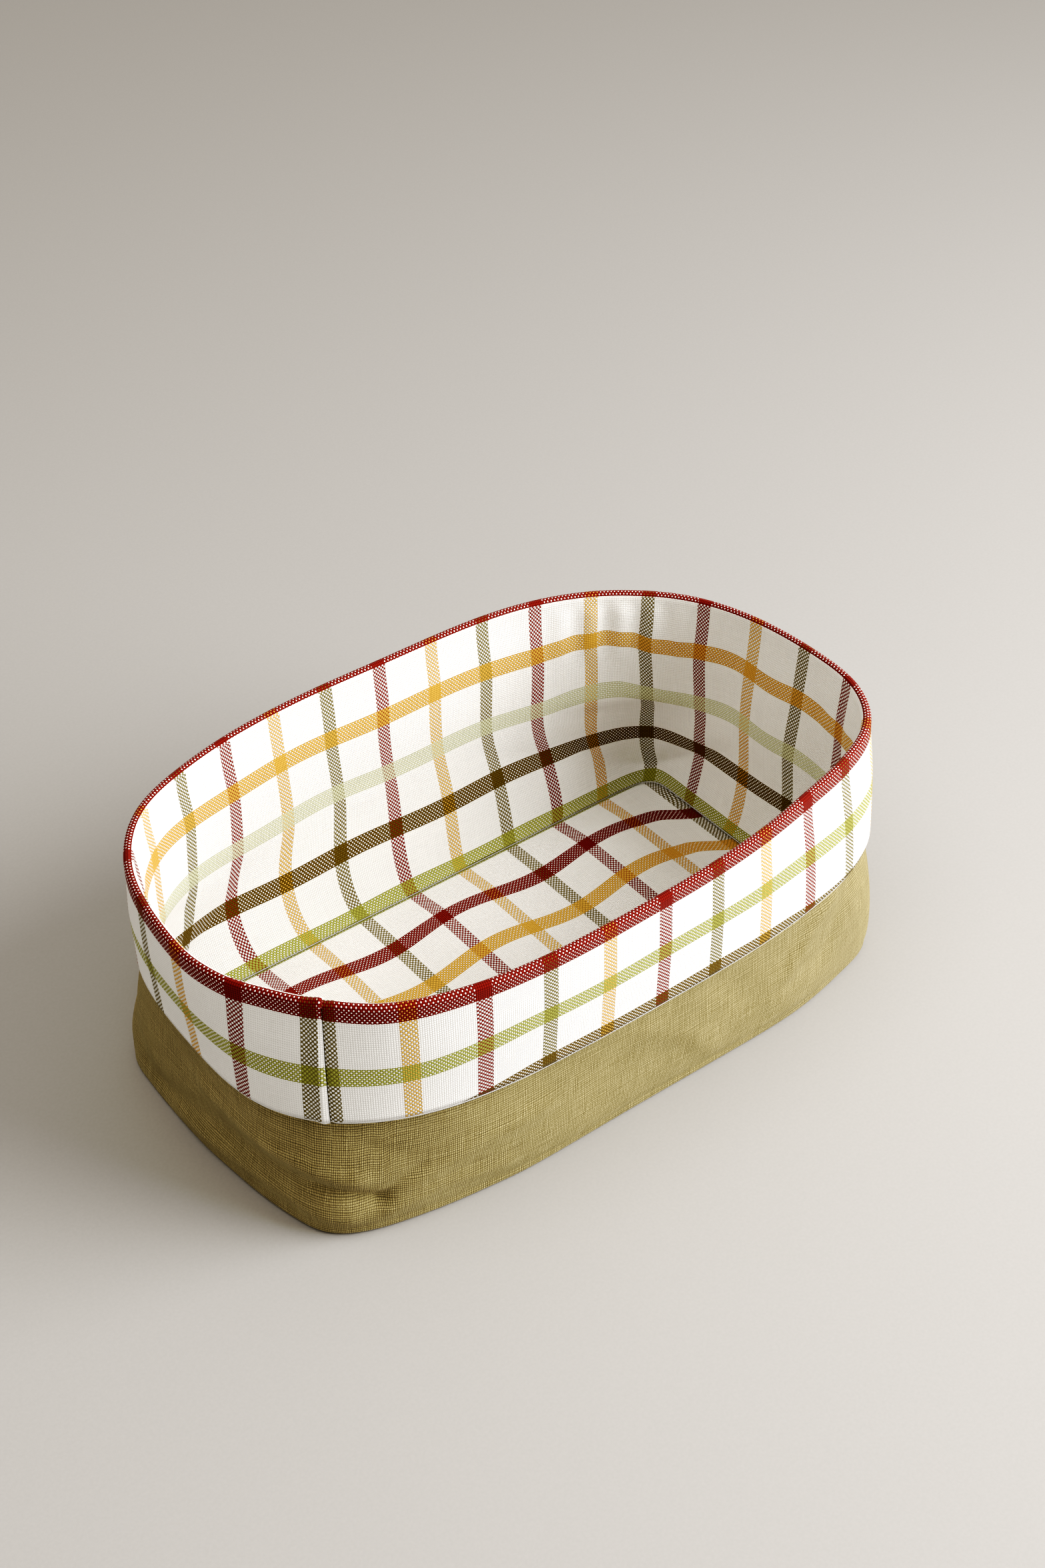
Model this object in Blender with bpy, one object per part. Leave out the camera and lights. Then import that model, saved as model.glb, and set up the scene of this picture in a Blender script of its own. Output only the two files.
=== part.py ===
"""A soft bread basket: two cloth bags sewn mouth to mouth, with the top turned down as a cuff.

The olive canvas shell is outside and the checked cotton lining inside. A light interlining between
them keeps the wall upright. The top of both cloths is folded outwards, so the cuff shows the lining.
Metres, +Z up. The origin is the centre of the base, on the surface that the basket stands on.
+X is the long way and +Y the short way. The side seam of the lining is at the -X -Y corner.
"""

import math

import bpy
import numpy as np

MM = 0.001

# Driving dimensions: four outlines, each a superellipse (half length, half width, exponent).
# BASE and RIM are the shell's outer face, and HEM is the cuff's outer face at its lower edge.
# FOLD is the line where the lining's wall meets its base.
BASE_OUTLINE = (131.5 * MM, 75.0 * MM, 5.2)
HEM_OUTLINE = (133.4 * MM, 84.3 * MM, 3.2)
RIM_OUTLINE = (133.1 * MM, 83.8 * MM, 2.87)
FOLD_OUTLINE = (120.6 * MM, 62.4 * MM, 8.0)
HEIGHT = 101.2 * MM
CUFF_DEPTH = 48.2 * MM
# The lining's wall curves in to its base along a quarter of an ellipse this high.
BEND_HEIGHT = 45.0 * MM
# From the base to the hem the shell's wall bellies: its spread goes as this power of the height.
BELLY = 0.55

CANVAS = 0.7 * MM
COTTON = 0.6 * MM
INTERLINING = 0.8 * MM
GAP = 0.3 * MM
SEAM_ALLOWANCE = 6.0 * MM
HEM_RADIUS = 1.1 * MM
SEAM_SLIT = 1.0 * MM
SEAM_RIDGE = 0.4 * MM

# Offsets across the wall. 0 is the shell's outer face and plus is outwards.
SHELL_INNER = -CANVAS
STIFF_OUTER = SHELL_INNER - GAP
STIFF_INNER = STIFF_OUTER - INTERLINING
LINING_OUTER = STIFF_INNER - GAP
LINING_INNER = LINING_OUTER - COTTON
BACKING_INNER = 0.5 * MM
BACKING_OUTER = BACKING_INNER + CANVAS
CUFF_INNER = BACKING_OUTER + GAP
CUFF_OUTER = CUFF_INNER + COTTON

# Heights of the layers that are stacked in the base.
SHELL_BASE_TOP = CANVAS
SHELL_SEAM_LOW = SHELL_BASE_TOP + GAP
SHELL_SEAM_TOP = SHELL_SEAM_LOW + COTTON
STIFF_LOW = SHELL_SEAM_TOP + GAP
STIFF_TOP = STIFF_LOW + INTERLINING
LINING_SEAM_LOW = STIFF_TOP + GAP
LINING_SEAM_TOP = LINING_SEAM_LOW + COTTON
LINING_LOW = LINING_SEAM_TOP + GAP
LINING_TOP = LINING_LOW + COTTON

# The rim: one fold of cotton round one fold of canvas.
RIM_RADIUS = (CUFF_OUTER - LINING_INNER) / 2
RIM_MIDDLE = (CUFF_OUTER + LINING_INNER) / 2
RIM_CENTRE = HEIGHT - RIM_RADIUS
CANVAS_FOLD_RADIUS = (BACKING_OUTER - SHELL_INNER) / 2
CANVAS_FOLD_MIDDLE = (BACKING_OUTER + SHELL_INNER) / 2
CANVAS_FOLD_CENTRE = RIM_CENTRE - 0.5 * MM
HEM_HEIGHT = HEIGHT - CUFF_DEPTH

COLUMNS = 72
# Where the lining's side seam is, as a share of the way round from +X, counter-clockwise.
SEAM_SHARE = 0.583
BELLY_HEIGHT = HEM_HEIGHT - LINING_TOP
WALL_LEVELS = (
    LINING_TOP,
    LINING_TOP + 0.1 * BELLY_HEIGHT,
    LINING_TOP + 0.3 * BELLY_HEIGHT,
    LINING_TOP + 0.6 * BELLY_HEIGHT,
    HEM_HEIGHT,
    HEM_HEIGHT + CUFF_DEPTH / 2,
)
CUFF_LEVELS = (HEM_HEIGHT + CUFF_DEPTH / 3, HEM_HEIGHT + CUFF_DEPTH * 2 / 3)
BEND_STEPS = 5

OLIVE = (0.16, 0.13, 0.03)
WHITE = (0.78, 0.76, 0.70)
WADDING = (0.62, 0.60, 0.55)
THREAD = (0.70, 0.68, 0.60)


def clear_scene():
    for obj in list(bpy.data.objects):
        bpy.data.objects.remove(obj, do_unlink=True)


def material(name, colour, roughness):
    """One cloth: a plain Principled surface with no metal in it."""
    made = bpy.data.materials.new(name)
    made.use_nodes = True
    shader = made.node_tree.nodes["Principled BSDF"]
    shader.inputs["Base Color"].default_value = (*colour, 1.0)
    shader.inputs["Roughness"].default_value = roughness
    shader.inputs["Metallic"].default_value = 0.0
    return made


def superellipse(half_x, half_y, exponent):
    """The outline's points and outward normals, COLUMNS equal steps round it from the side seam."""
    angle = np.linspace(0.0, 2.0 * math.pi, 4001)
    cosine, sine = np.cos(angle), np.sin(angle)
    power = 2.0 / exponent
    dense = np.stack(
        [
            half_x * np.sign(cosine) * np.abs(cosine) ** power,
            half_y * np.sign(sine) * np.abs(sine) ** power,
        ],
        axis=1,
    )
    steps = np.linalg.norm(np.diff(dense, axis=0), axis=1)
    travelled = np.concatenate([[0.0], np.cumsum(steps)])
    share = (SEAM_SHARE + np.arange(COLUMNS) / COLUMNS) % 1.0

    def at(shares):
        where = (shares % 1.0) * travelled[-1]
        return np.stack([np.interp(where, travelled, dense[:, axis]) for axis in (0, 1)], axis=1)

    tangent = at(share + 0.002) - at(share - 0.002)
    tangent /= np.linalg.norm(tangent, axis=1)[:, None]
    normal = np.stack([tangent[:, 1], -tangent[:, 0]], axis=1)
    return at(share), normal


BASE = superellipse(*BASE_OUTLINE)
HEM = superellipse(*HEM_OUTLINE)
RIM = superellipse(*RIM_OUTLINE)
FOLD = superellipse(*FOLD_OUTLINE)
# The shell's outer face behind the hem.
WAIST = (HEM[0] - CUFF_OUTER * HEM[1], HEM[1])


def ring_points(low, high, share, offset, z):
    """One ring of points at height z, a share of the way from outline low to outline high."""
    place = (1.0 - share) * low[0] + share * high[0]
    normal = (1.0 - share) * low[1] + share * high[1]
    normal = normal / np.linalg.norm(normal, axis=1)[:, None]
    place = place + offset * normal
    return np.column_stack([place, np.full(len(place), z)])


def on_outline(outline, offset, z):
    return ring_points(outline, outline, 0.0, offset, z)


def on_wall(offset, z):
    """A ring of the wall, whose offset is counted from the shell's outer face."""
    if z < HEM_HEIGHT:
        share = max(z - LINING_TOP, 0.0) / BELLY_HEIGHT
        return ring_points(BASE, WAIST, share**BELLY, offset, z)
    share = min((z - HEM_HEIGHT) / CUFF_DEPTH, 1.0)
    return ring_points(WAIST, RIM, share, offset, z)


def new_object(name, points, faces, surface):
    mesh = bpy.data.meshes.new(name)
    mesh.from_pydata([tuple(point) for point in points], [], faces)
    mesh.validate()
    mesh.materials.append(surface)
    mesh.shade_smooth()
    mesh.set_sharp_from_angle(angle=math.radians(35.0))
    made = bpy.data.objects.new(name, mesh)
    bpy.context.scene.collection.objects.link(made)
    return made


def strip_faces(rings, across, joined):
    """Two triangles for each cell between one ring and the next, round a section's corners.

    The dividing line of a cell leans the same way on a layer's two faces, so neighbours stay parallel.
    """
    faces = []
    for index, ring in enumerate(rings):
        following = rings[(index + 1) % len(rings)]
        here, after = index * across, ((index + 1) % len(rings)) * across
        rising = following[:, 2].mean() >= ring[:, 2].mean()
        for column in range(COLUMNS):
            beside = (column + 1) % across if joined else column + 1
            if rising:
                faces.append((here + column, here + beside, after + beside))
                faces.append((here + column, after + beside, after + column))
            else:
                faces.append((here + column, here + beside, after + column))
                faces.append((here + beside, after + beside, after + column))
    return faces


def closed_band(name, rings, surface):
    """A ring-shaped body. rings are its section's corners in order: out, up, in and down again."""
    faces = strip_faces(rings, COLUMNS, True)
    return new_object(name, np.concatenate(rings), faces, surface)


def slit_band(name, rings, surface, slit):
    """A band whose two ends meet at the side seam, with half a slit kept clear at each end."""
    trimmed = []
    for ring in rings:
        closed = np.vstack([ring, ring[:1]])
        for end, inward in ((0, 1), (-1, -2)):
            run = closed[inward] - closed[end]
            closed[end] = closed[end] + run * (slit / 2 / np.linalg.norm(run))
        trimmed.append(closed)
    across = COLUMNS + 1
    points = np.concatenate(trimmed)
    faces = strip_faces(trimmed, across, False)
    corners = [ring * across for ring in range(len(trimmed))]
    faces.append(tuple(corners))
    faces.append(tuple(corner + COLUMNS for corner in reversed(corners)))
    return new_object(name, points, faces, surface)


def plate(name, low_ring, high_ring, surface):
    """A flat panel between two equal rings of points, fanned from its middle."""
    middle_low = low_ring.mean(axis=0)
    middle_high = high_ring.mean(axis=0)
    points = np.vstack([low_ring, high_ring, [middle_low], [middle_high]])
    low_centre, high_centre = 2 * COLUMNS, 2 * COLUMNS + 1
    faces = []
    for column in range(COLUMNS):
        beside = (column + 1) % COLUMNS
        faces.append((column, beside, COLUMNS + beside, COLUMNS + column))
        faces.append((beside, column, low_centre))
        faces.append((COLUMNS + column, COLUMNS + beside, high_centre))
    return new_object(name, points, faces, surface)


def wall_rings(outer, inner, low, high):
    """The section of a wall layer: up its outer face, and down its inner face."""
    heights = [low, *[z for z in WALL_LEVELS if low < z < high], high]
    up = [on_wall(outer, z) for z in heights]
    down = [on_wall(inner, z) for z in reversed(heights)]
    return up + down


def lining_rings(top):
    """The lining wall's section: up its back, which faces the shell, and down its visible face."""
    steps = np.linspace(0.0, 1.0, BEND_STEPS + 1) * math.pi / 2
    shares = [*np.sin(steps), 1.0]
    heights = [*(LINING_TOP + BEND_HEIGHT * (1.0 - np.cos(steps))), top]
    width = RIM_OUTLINE[1] + LINING_INNER - FOLD_OUTLINE[1]
    face, back = [], []
    for index, (share, z) in enumerate(zip(shares, heights)):
        before, after = max(index - 1, 0), min(index + 1, len(shares) - 1)
        slope = math.atan2(heights[after] - heights[before], width * (shares[after] - shares[before]))
        upright = on_wall(LINING_INNER, z)[:, :2]
        visible = (1.0 - share) * FOLD[0] + share * upright
        normal = (1.0 - share) * FOLD[1] + share * RIM[1]
        normal = normal / np.linalg.norm(normal, axis=1)[:, None]
        behind = visible + normal * COTTON * math.sin(slope)
        back_z = z - COTTON * math.cos(slope)
        face.append(np.column_stack([visible, np.full(len(visible), z)]))
        back.append(np.column_stack([behind, np.full(len(behind), back_z)]))
    return back + list(reversed(face))


def fold_rings(middle, centre, radius, steps):
    """Half a turn over the rim, from its outer side to its inner side."""
    rings = []
    for step in range(1, steps):
        angle = math.pi * step / steps
        z = centre + radius * math.sin(angle)
        rings.append(on_wall(middle + radius * math.cos(angle), z))
    return rings


def cuff_rings(outer, inner, low, fold, steps, thickness):
    """The section of a cuff layer, up its outer face, over the fold and back down its inner face."""
    middle, centre, radius = fold
    heights = [low, *CUFF_LEVELS, centre]
    up = [on_wall(outer, z) for z in heights]
    over = fold_rings(middle, centre, radius, steps)
    end = middle - radius
    stop = [on_wall(end, centre), on_wall(end + thickness, centre)]
    under = list(reversed(fold_rings(middle, centre, radius - thickness, steps)))
    down = [on_wall(inner, z) for z in reversed(heights)]
    return up + over + stop + under + down


def seam_ridge(name, surface):
    """The sewn line of the side seam: a narrow ridge that stands in the slit of the cuff face."""
    low = HEM_HEIGHT + 2 * HEM_RADIUS + GAP
    heights = [low, *CUFF_LEVELS, RIM_CENTRE]
    points = []
    for z in heights:
        for offset in (CUFF_OUTER - GAP, CUFF_INNER):
            ring = on_wall(offset, z)
            along = ring[1] - ring[-1]
            along = along / np.linalg.norm(along)
            for side in (-1.0, 1.0):
                points.append(ring[0] + along * side * SEAM_RIDGE / 2)
    faces = [(0, 2, 3, 1)]
    for level in range(len(heights) - 1):
        low_row, high_row = 4 * level, 4 * level + 4
        for first, second in ((0, 1), (1, 3), (3, 2), (2, 0)):
            faces.append((low_row + first, low_row + second, high_row + second, high_row + first))
    top = 4 * (len(heights) - 1)
    faces.append((top, top + 1, top + 3, top + 2))
    return new_object(name, points, faces, surface)


def hem_rings():
    """A round bead under the cuff's two cloths: the edge where they are sewn and turned."""
    middle = (CUFF_OUTER + BACKING_INNER) / 2
    centre = HEM_HEIGHT + HEM_RADIUS
    rings = []
    sides = 6
    for side in range(sides):
        angle = 2 * math.pi * (side + 0.5) / sides - math.pi / 2
        offset = middle + HEM_RADIUS * math.cos(angle)
        rings.append(on_wall(offset, centre + HEM_RADIUS * math.sin(angle)))
    return rings


def build_shell(canvas, seam_cloth):
    closed_band("shell_wall", wall_rings(0.0, SHELL_INNER, 0.0, CANVAS_FOLD_CENTRE - GAP), canvas)
    edge = SHELL_INNER - GAP
    plate("shell_base", on_outline(BASE, edge, 0.0),
          on_outline(BASE, edge, SHELL_BASE_TOP), canvas)
    fold = (CANVAS_FOLD_MIDDLE, CANVAS_FOLD_CENTRE, CANVAS_FOLD_RADIUS)
    low = HEM_HEIGHT + 2 * HEM_RADIUS + GAP
    closed_band("cuff_backing", cuff_rings(BACKING_OUTER, BACKING_INNER, low, fold, 3, CANVAS), canvas)
    closed_band("shell_base_seam", allowance_rings(BASE, edge, SHELL_SEAM_LOW, SHELL_SEAM_TOP), seam_cloth)


def allowance_rings(outline, outer, low, high):
    """Seam allowance under the base, as a flat ring inside the offset outer of an outline."""
    inner = outer - SEAM_ALLOWANCE
    corners = ((outer, low), (outer, high), (inner, high), (inner, low))
    return [on_outline(outline, offset, z) for offset, z in corners]


def build_interlining(wadding):
    top = CANVAS_FOLD_CENTRE - GAP
    closed_band("wall_interlining", wall_rings(STIFF_OUTER, STIFF_INNER, STIFF_LOW, top), wadding)
    edge = LINING_OUTER
    plate("base_interlining", on_outline(BASE, edge, STIFF_LOW),
          on_outline(BASE, edge, STIFF_TOP), wadding)


def build_lining(cotton, seam_cloth, thread):
    slit_band("lining_wall", lining_rings(RIM_CENTRE - GAP), cotton, SEAM_SLIT)
    plate("lining_base", on_outline(FOLD, -GAP, LINING_LOW),
          on_outline(FOLD, -GAP, LINING_TOP), cotton)
    rings = allowance_rings(FOLD, SEAM_ALLOWANCE, LINING_SEAM_LOW, LINING_SEAM_TOP)
    closed_band("lining_base_seam", rings, seam_cloth)
    fold = (RIM_MIDDLE, RIM_CENTRE, RIM_RADIUS)
    low = HEM_HEIGHT + 2 * HEM_RADIUS + GAP
    slit_band("cuff_face", cuff_rings(CUFF_OUTER, CUFF_INNER, low, fold, 6, COTTON), cotton, SEAM_SLIT)
    closed_band("cuff_hem", hem_rings(), cotton)
    seam_ridge("side_seam", thread)


def main():
    clear_scene()
    canvas = material("olive_canvas", OLIVE, 0.9)
    cotton = material("check_cotton", WHITE, 0.88)
    wadding = material("interlining", WADDING, 0.95)
    seam_cloth = material("seam_allowance", OLIVE, 0.9)
    thread = material("thread", THREAD, 0.8)
    build_shell(canvas, seam_cloth)
    build_interlining(wadding)
    build_lining(cotton, seam_cloth, thread)


main()
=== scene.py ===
import math

import bpy
import numpy as np
from mathutils import Matrix, Vector


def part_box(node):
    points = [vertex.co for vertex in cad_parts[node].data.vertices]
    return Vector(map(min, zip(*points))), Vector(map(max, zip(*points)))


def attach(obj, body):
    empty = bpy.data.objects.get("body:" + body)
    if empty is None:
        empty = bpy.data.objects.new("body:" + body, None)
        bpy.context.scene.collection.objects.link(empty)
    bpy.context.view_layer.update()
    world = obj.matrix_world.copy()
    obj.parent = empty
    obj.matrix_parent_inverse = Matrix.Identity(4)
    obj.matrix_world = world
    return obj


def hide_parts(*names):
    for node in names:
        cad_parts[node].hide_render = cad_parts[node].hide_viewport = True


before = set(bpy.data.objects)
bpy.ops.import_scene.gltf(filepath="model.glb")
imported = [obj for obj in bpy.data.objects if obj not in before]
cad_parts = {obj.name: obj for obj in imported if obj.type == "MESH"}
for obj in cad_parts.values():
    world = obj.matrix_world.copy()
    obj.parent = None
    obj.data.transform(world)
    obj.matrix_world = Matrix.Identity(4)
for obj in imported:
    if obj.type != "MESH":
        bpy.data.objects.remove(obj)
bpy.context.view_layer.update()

MM = 0.001

# ---------------------------------------------------------------- sizes, in millimetres, from the frame
CANVAS, COTTON, WADDING, GAP = 0.7, 0.6, 0.8, 0.3
WADDING_OUT = -(CANVAS + GAP)
LINING_IN = WADDING_OUT - WADDING - GAP - COTTON
BACKING_OUT = 0.5 + CANVAS
CUFF_OUT = BACKING_OUT + GAP + COTTON


def node_box(name):
    """The two corners of a CAD part's box, in millimetres."""
    low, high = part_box(name)
    return np.array(low) / MM, np.array(high) / MM


def half_size(name, margin=0.0):
    """Half the length and half the width of a CAD part, with a margin."""
    low, high = node_box(name)
    return (high[0] - low[0]) / 2 + margin, (high[1] - low[1]) / 2 + margin


HEIGHT = node_box("cuff_face")[1][2]
HEM_Z = node_box("cuff_hem")[0][2]
FLOOR_TOP = node_box("lining_base")[1][2]
SHELL_SEAM_TOP = node_box("shell_base_seam")[1][2]
STIFFENER_LOW, STIFFENER_TOP = node_box("base_interlining")[0][2], node_box("base_interlining")[1][2]
LINING_SEAM_TOP = node_box("lining_base_seam")[1][2]
# The lining bends from its base up to the wall over the height BEND.
BEND = 45.0
CUFF_BOX, HEM_BOX = half_size("cuff_face"), half_size("cuff_hem")

# Outlines of the shell's outer face and of the fold round the lining's base: half sizes and exponent.
BASE = (*half_size("shell_base", CANVAS + GAP), 5.2)
WAIST = (HEM_BOX[0] - CUFF_OUT - 0.3, HEM_BOX[1] - CUFF_OUT - 0.3, 3.2)
RIM = (CUFF_BOX[0] - CUFF_OUT, CUFF_BOX[1] - CUFF_OUT, 2.87)
FOLD = (*half_size("lining_base", GAP), 20.0)
# The side seam's share of the way round each outline from its +X end, counter-clockwise.
SEAM_AT_RIM, SEAM_AT_FOLD = 0.5862, 0.5872
# The share of their thickness that the layers lose where they are pressed together at the rim.
RIM_PRESS = 0.42
RIM_RADIUS = (CUFF_OUT - LINING_IN) / 2
RIM_MIDDLE = (CUFF_OUT + LINING_IN) / 2
RIM_CENTRE = HEIGHT - RIM_RADIUS * (1.0 - RIM_PRESS)
# The radius of the shell's lower edge, and how far under the cuff's face the side seam's turning lies.
BASE_EDGE = 1.8
SEAM_DEPTH = 0.56
# The width of the seam allowances, and the hem roll's offset, half depth and half height.
ALLOWANCE = 6.0
HEM_OFFSET, HEM_HALF_DEPTH, HEM_HALF_HEIGHT = 1.42, 0.95, 0.8

# The check: a stripe every REPEAT_U round the wall and every REPEAT_W down it, both in cloth millimetres.
REPEAT_U, REPEAT_W = 24.0, 25.0
STRIPE_U, STRIPE_W = 5.6, 7.2
FIRST_U = 1.25
CLOTH_ROUND = 725.3
W_AT_FOLD = 102.0
COTTON_YARN = (REPEAT_U / 33, REPEAT_W / 30)
CANVAS_YARN = (0.66, 0.98)

# The columns of every wall: shares of the way round from the side seam, closer together beside it.
ROUND = 730.0
BESIDE = np.array([0.0, 0.3, 0.6, 0.9, 1.2, 1.5, 1.8, 2.2, 2.7, 3.3, 4.0, 5.0]) / ROUND
SHARE = np.concatenate([BESIDE[:-1], np.linspace(BESIDE[-1], 1 - BESIDE[-1], 440), 1 - BESIDE[-2::-1]])
ACROSS = len(SHARE)


def smooth(value, low, high):
    """0 up to low, 1 from high on, and an even curve between them."""
    t = np.clip((value - low) / (high - low), 0.0, 1.0)
    return t * t * (3.0 - 2.0 * t)


def bump(value, centre, width):
    """1 at the centre, falling to nearly 0 at twice the width from it."""
    return np.exp(-(((value - centre) / width) ** 2))


# Signed distance round the basket from the side seam, at every column.
BY_SEAM = np.where(SHARE > 0.5, SHARE - 1.0, SHARE) * ROUND


def looped(table):
    """A smooth curve through (share, value) pairs, the same at both ends of the loop, at every column."""
    places = np.array([pair[0] for pair in table])
    values = np.array([pair[1] for pair in table])
    places = np.concatenate([places - 1.0, places, places + 1.0])
    values = np.concatenate([values] * 3)
    slopes = np.zeros_like(values)
    slopes[1:-1] = (values[2:] - values[:-2]) / (places[2:] - places[:-2])
    index = np.clip(np.searchsorted(places, SHARE, side="right") - 1, 0, len(places) - 2)
    width = places[index + 1] - places[index]
    t = (SHARE - places[index]) / width
    rise, fall = slopes[index] * width, slopes[index + 1] * width
    start = values[index] * (2 * t**3 - 3 * t**2 + 1) + rise * (t**3 - 2 * t**2 + t)
    return start + values[index + 1] * (3 * t**2 - 2 * t**3) + fall * (t**3 - t**2)


def superellipse(half_x, half_y, exponent, seam):
    """Points and outward normals of an outline, one for each column, starting at the side seam."""
    angle = np.linspace(0.0, 2.0 * math.pi, 6001)
    cosine, sine = np.cos(angle), np.sin(angle)
    power = 2.0 / exponent
    x = half_x * np.sign(cosine) * np.abs(cosine) ** power
    y = half_y * np.sign(sine) * np.abs(sine) ** power
    dense = np.stack([x, y], axis=1)
    steps = np.linalg.norm(np.diff(dense, axis=0), axis=1)
    travelled = np.concatenate([[0.0], np.cumsum(steps)])
    share = (seam + SHARE) % 1.0

    def at(shares):
        where = (shares % 1.0) * travelled[-1]
        return np.stack([np.interp(where, travelled, dense[:, axis]) for axis in (0, 1)], axis=1)

    tangent = at(share + 0.0015) - at(share - 0.0015)
    tangent /= np.linalg.norm(tangent, axis=1)[:, None]
    return at(share), np.stack([tangent[:, 1], -tangent[:, 0]], axis=1)


def wall_size(z):
    """Half sizes and exponent of the shell's outer face at height z."""
    if z < HEM_Z:
        share = max(z - FLOOR_TOP, 0.0) / (HEM_Z - FLOOR_TOP)
        spread = share**0.55
        low, high = BASE, WAIST
    else:
        share = spread = min((z - HEM_Z) / (HEIGHT - HEM_Z), 1.0)
        low, high = WAIST, RIM
    return (
        low[0] + (high[0] - low[0]) * spread,
        low[1] + (high[1] - low[1]) * spread,
        low[2] + (high[2] - low[2]) * share,
    )


# ---------------------------------------------------------------- how the cloth hangs
# Each table holds (share of the way round from the side seam, millimetres). The first three say how far the
# rim, the hem and the base edge stand out from the frame's even outlines, and RIM_UP how far the rim rises.
RIM_OUT = looped([
    (0.0, -2.0), (0.03, 1.4), (0.07, 2.2), (0.1, 2.0), (0.14, 1.2), (0.183, 0.2), (0.233, -1.9),
    (0.27, -2.9), (0.3, -0.9), (0.333, 3.0), (0.36, 3.4), (0.39, 1.9), (0.417, 1.0), (0.46, -1.6),
    (0.5, -2.2), (0.535, -1.1), (0.58, 0.0), (0.65, -1.1), (0.7, -1.0), (0.78, -1.6), (0.817, -0.4),
    (0.85, -0.5), (0.88, 0.5), (0.925, 2.6), (0.95, 0.9), (0.975, -2.3),
])
HEM_OUT = looped([
    (0.0, -0.6), (0.06, 0.0), (0.15, -0.2), (0.22, -0.2), (0.27, 0.2), (0.31, 2.6), (0.335, 4.2),
    (0.37, 2.6), (0.42, 0.0), (0.6, 0.0), (0.8, 0.0), (0.87, -0.9), (0.92, -0.2), (0.96, 0.0),
])
BASE_OUT = looped([
    (0.0, -3.0), (0.035, -2.2), (0.07, 0.0), (0.1, 1.8), (0.16, 1.9), (0.21, 2.2), (0.26, 2.4), (0.3, 1.0),
    (0.325, 2.6), (0.345, 1.8), (0.39, 1.0), (0.47, 1.5), (0.5, 4.5), (0.53, 1.5), (0.6, 0.5), (0.7, 0.5),
    (0.8, 1.0), (0.84, 3.2), (0.862, 1.4), (0.91, 0.9), (0.94, -1.2), (0.975, -4.0),
])
RIM_UP = looped([
    (0.0, 2.2), (0.12, 2.2), (0.3, 2.4), (0.4, 2.2), (0.49, 0.9), (0.56, 2.0), (0.7, 2.2), (0.86, 2.4),
])
# How far outside the rim's top the middle of the first weft stripe lies, and how far past it the hem is.
BAND_DOWN = looped([
    (0.0, 3.2), (0.05, 2.8), (0.15, 2.4), (0.3, 2.5), (0.4, 2.2), (0.5, 1.8), (0.6, 1.9), (0.7, 2.1),
    (0.85, 2.6), (0.95, 3.1),
])
HEM_W = looped([
    (0.0, 43.0), (0.04, 44.5), (0.07, 48.5), (0.1, 51.8), (0.24, 51.8), (0.28, 48.0), (0.35, 46.0),
    (0.5, 46.0), (0.85, 45.0), (0.93, 43.6),
])
DRAWN_ALL = -1.31
DRAWN = ((-0.79, 2.01), (1.42, 0.98), (0.19, 0.92), (0.49, -0.17))
# The lining's puckers: depth in millimetres, then spacing and first place in shares of the way round.
PUCKER_DEPTH, PUCKER_SPACING, PUCKER_START = 1.7, 0.0175, 0.497
# Folds of the slack canvas: depth and half width, then points as (distance from the side seam, height).
FOLDS = (
    (-1.7, 5.5, ((-94, 8), (-68, 16), (-42, 21), (-16, 24), (3, 22), (15, 17))),
    (-1.3, 2.6, ((-6, 22), (8, 19.5), (17, 16))),
    (1.5, 5.0, ((-60, 34), (-32, 34), (-12, 32), (8, 27))),
    (1.0, 4.0, ((-80, 4), (-50, 9), (-20, 12), (5, 9))),
    (-0.9, 2.6, ((16, 16), (21, 22), (29, 28))),
    (-0.5, 2.8, ((12, 42), (26, 36))),
    (0.9, 4.0, ((20, 11), (40, 15), (62, 12))),
    (0.8, 5.0, ((30, 22), (52, 30), (75, 32))),
    (0.9, 4.5, ((209, 50), (196, 40), (186, 28))),
    (-0.8, 5.0, ((221, 48), (211, 36), (203, 24))),
    (0.6, 5.0, ((120, 40), (140, 25), (150, 12))),
    (-0.6, 6.0, ((150, 44), (166, 28), (172, 12))),
    (0.8, 6.0, ((-150, 42), (-136, 28), (-120, 14))),
    (-0.9, 5.0, ((-134, 40), (-120, 26), (-104, 12))),
    (0.8, 6.0, ((300, 40), (322, 26), (348, 14))),
    (-0.8, 6.0, ((330, 42), (352, 28), (366, 18))),
    (0.7, 7.0, ((-330, 16), (-300, 28), (-262, 34))),
    (-0.7, 6.0, ((-310, 12), (-276, 22), (-240, 26))),
    (0.6, 7.0, ((-224, 40), (-204, 26), (-190, 12))),
)
# How far the check's wefts ride up or down on the inner wall, where the cloth is gathered or pulled.
SWAY = looped([
    (0.0, 0.0), (0.2, 0.0), (0.34, 0.6), (0.37, -0.8), (0.395, 0.8), (0.42, -0.6), (0.445, 0.9),
    (0.47, -0.6), (0.492, -0.9), (0.515, 3.0), (0.54, 1.8), (0.56, -0.4), (0.6, 0.4), (0.65, -0.5),
    (0.7, 0.7), (0.75, -0.6), (0.8, 0.7), (0.84, -0.8), (0.87, 0.8), (0.9, -0.4),
])


def slide():
    turn = 2 * math.pi * SHARE
    total = DRAWN_ALL * np.ones(ACROSS)
    for order, (cosine, sine) in enumerate(DRAWN, 1):
        total += cosine * np.cos(order * turn) + sine * np.sin(order * turn)
    return total


def pressed(offset, z):
    """A distance across the wall at height z: the layers are pressed together towards the rim."""
    return offset * (1.0 - RIM_PRESS * smooth(z, HEIGHT - 24.0, HEIGHT - 3.0))


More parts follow.
